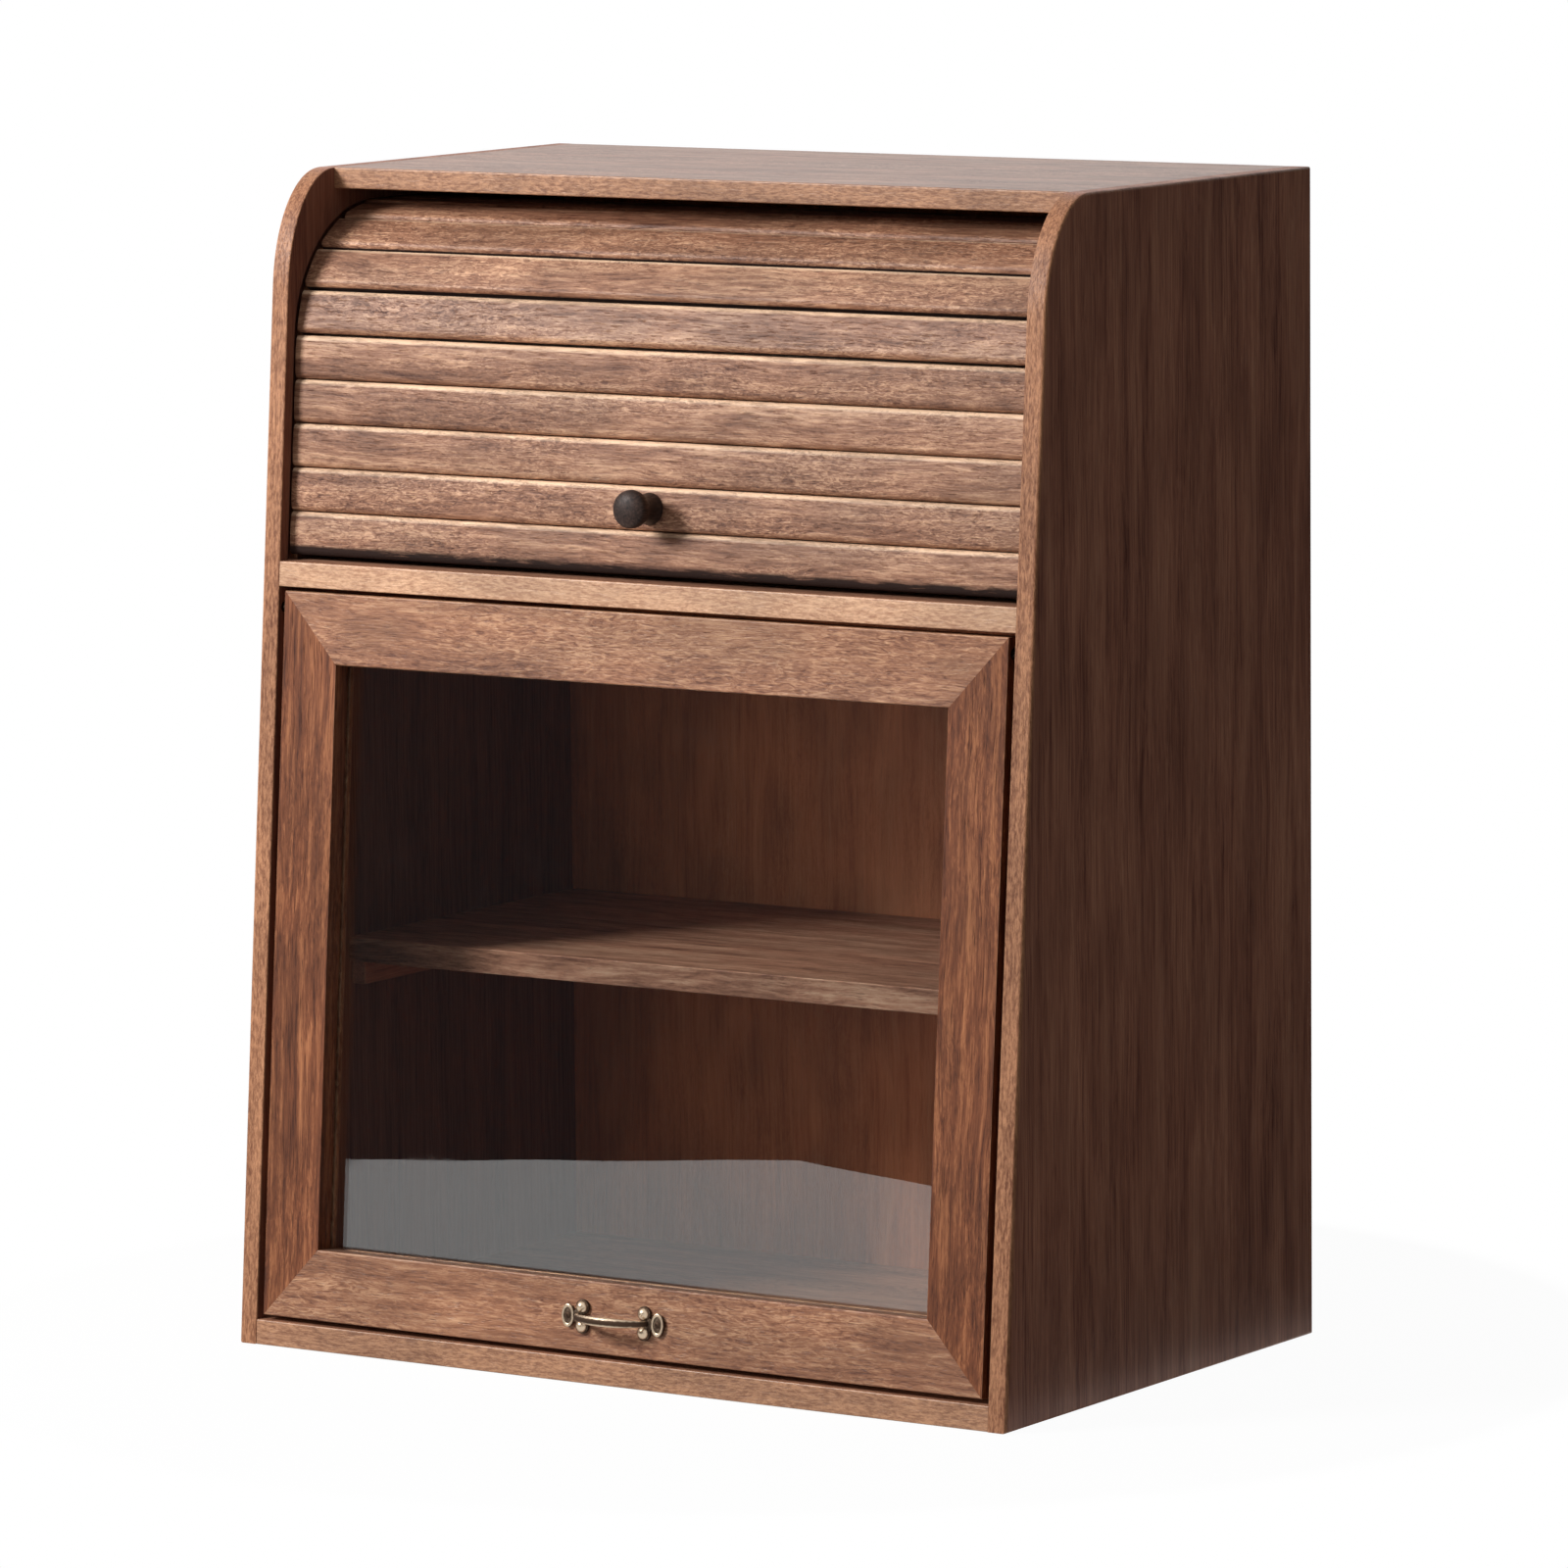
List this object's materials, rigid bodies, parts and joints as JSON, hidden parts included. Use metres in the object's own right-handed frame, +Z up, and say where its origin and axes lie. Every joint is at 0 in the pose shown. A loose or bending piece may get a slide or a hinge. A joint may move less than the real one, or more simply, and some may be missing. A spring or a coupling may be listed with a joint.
{
  "type": "tambour tea cabinet",
  "caption": "Counter-top cabinet with leaning rounded sides, a slatted roll-up tambour with a knob above and a glazed lift-up door with a bow handle below.",
  "frame": {"origin": "middle of the base, on the underside that the cabinet stands on", "axes": "+Z up, -Y out of the front, +X to the right of someone facing the front"},
  "size_m": [0.433, 0.2912, 0.56],
  "materials": {
    "walnut_case": "oiled, open grain",
    "walnut_boards": "oiled, paler edges",
    "walnut_slats": "oiled, open grain",
    "walnut_door": "oiled, open grain",
    "canvas": "plain weave",
    "glass": "clear",
    "dark_knob": "turned, stained near black",
    "antique_brass": "antique, worn bright on the high places",
    "steel": "zinc plated",
    "brown_plastic": "moulded"
  },
  "bodies": {
    "cabinet": {"side_left": "walnut_case", "side_right": "walnut_case", "back_panel": "walnut_case", "shelf_cleat_left": "walnut_case", "shelf_cleat_right": "walnut_case", "top_board": "walnut_boards", "middle_board": "walnut_boards", "bottom_board": "walnut_boards", "shelf": "walnut_boards", "door_pivot_left": "steel", "door_pivot_right": "steel", "catch_magnet": "brown_plastic"},
    "tambour_tail": {"tambour_slat_10": "walnut_slats", "tambour_slat_11": "walnut_slats", "tambour_canvas_10": "canvas", "tambour_canvas_11": "canvas"},
    "tambour_link_09": {"tambour_slat_09": "walnut_slats", "tambour_canvas_09": "canvas"},
    "tambour_link_08": {"tambour_slat_08": "walnut_slats", "tambour_canvas_08": "canvas"},
    "tambour_link_07": {"tambour_slat_07": "walnut_slats", "tambour_canvas_07": "canvas"},
    "tambour_link_06": {"tambour_slat_06": "walnut_slats", "tambour_canvas_06": "canvas"},
    "tambour_link_05": {"tambour_slat_05": "walnut_slats", "tambour_canvas_05": "canvas"},
    "tambour_link_04": {"tambour_slat_04": "walnut_slats", "tambour_canvas_04": "canvas"},
    "tambour_link_03": {"tambour_slat_03": "walnut_slats", "tambour_canvas_03": "canvas"},
    "tambour_link_02": {"tambour_slat_02": "walnut_slats", "tambour_canvas_02": "canvas", "knob": "dark_knob", "knob_screw": "steel"},
    "tambour_link_01": {"tambour_slat_01": "walnut_slats", "tambour_canvas_01": "canvas"},
    "door": {"door_stile_left": "walnut_door", "door_stile_right": "walnut_door", "door_rail_top": "walnut_door", "door_rail_bottom": "walnut_door", "glass_bead_top": "walnut_door", "glass_bead_bottom": "walnut_door", "glass_bead_left": "walnut_door", "glass_bead_right": "walnut_door", "door_glass": "glass", "handle_bow": "antique_brass", "handle_rosette_left": "antique_brass", "handle_rosette_right": "antique_brass", "catch_strike": "steel"}
  },
  "joints": [
    {"name": "tambour_run", "type": "slide", "parent": "cabinet", "child": "tambour_tail", "axis": [0, 1, 0], "range_m": [0, 0.106]},
    {"name": "tambour_bend_09", "type": "hinge", "parent": "tambour_tail", "child": "tambour_link_09", "pos_m": [0, -0.03292, 0.53594], "axis": [-1, 0, 0], "range_deg": [0, 13.81]},
    {"name": "tambour_bend_08", "type": "hinge", "parent": "tambour_link_09", "child": "tambour_link_08", "pos_m": [0, -0.05332, 0.53094], "axis": [-1, 0, 0], "range_deg": [0, 20.54]},
    {"name": "tambour_bend_07", "type": "hinge", "parent": "tambour_link_08", "child": "tambour_link_07", "pos_m": [0, -0.07068, 0.51912], "axis": [-1, 0, 0], "range_deg": [0, 20.54]},
    {"name": "tambour_bend_06", "type": "hinge", "parent": "tambour_link_07", "child": "tambour_link_06", "pos_m": [0, -0.0828, 0.50198], "axis": [-1, 0, 0], "range_deg": [0, 20.54]},
    {"name": "tambour_bend_05", "type": "hinge", "parent": "tambour_link_06", "child": "tambour_link_05", "pos_m": [0, -0.08816, 0.48167], "axis": [-1, 0, 0], "range_deg": [0, 10.18]},
    {"name": "tambour_bend_04", "type": "hinge", "parent": "tambour_link_05", "child": "tambour_link_04", "pos_m": [0, -0.08981, 0.46074], "axis": [-1, 0, 0], "range_deg": [-12.68, 0]},
    {"name": "tambour_bend_03", "type": "hinge", "parent": "tambour_link_04", "child": "tambour_link_03", "pos_m": [0, -0.09145, 0.4398], "axis": [-1, 0, 0], "range_deg": [-20.54, 0]},
    {"name": "tambour_bend_02", "type": "hinge", "parent": "tambour_link_03", "child": "tambour_link_02", "pos_m": [0, -0.0931, 0.41886], "axis": [-1, 0, 0], "range_deg": [-20.54, 0]},
    {"name": "tambour_bend_01", "type": "hinge", "parent": "tambour_link_02", "child": "tambour_link_01", "pos_m": [0, -0.09474, 0.39793], "axis": [-1, 0, 0], "range_deg": [-20.54, 0]},
    {"name": "door_lift", "type": "hinge", "parent": "cabinet", "child": "door", "pos_m": [0, -0.10727, 0.35273], "axis": [-1, 0, 0], "range_deg": [0, 90]}
  ],
  "couplings": [
    {"joint": "tambour_bend_09", "follows": "tambour_run", "rad_per_m": 2.2665},
    {"joint": "tambour_bend_08", "follows": "tambour_run", "rad_per_m": 3.3729},
    {"joint": "tambour_bend_07", "follows": "tambour_run", "rad_per_m": 3.3729},
    {"joint": "tambour_bend_06", "follows": "tambour_run", "rad_per_m": 3.3729},
    {"joint": "tambour_bend_05", "follows": "tambour_run", "rad_per_m": 1.6675},
    {"joint": "tambour_bend_04", "follows": "tambour_run", "rad_per_m": -2.0802},
    {"joint": "tambour_bend_03", "follows": "tambour_run", "rad_per_m": -3.3729},
    {"joint": "tambour_bend_02", "follows": "tambour_run", "rad_per_m": -3.3729},
    {"joint": "tambour_bend_01", "follows": "tambour_run", "rad_per_m": -3.3729}
  ]
}
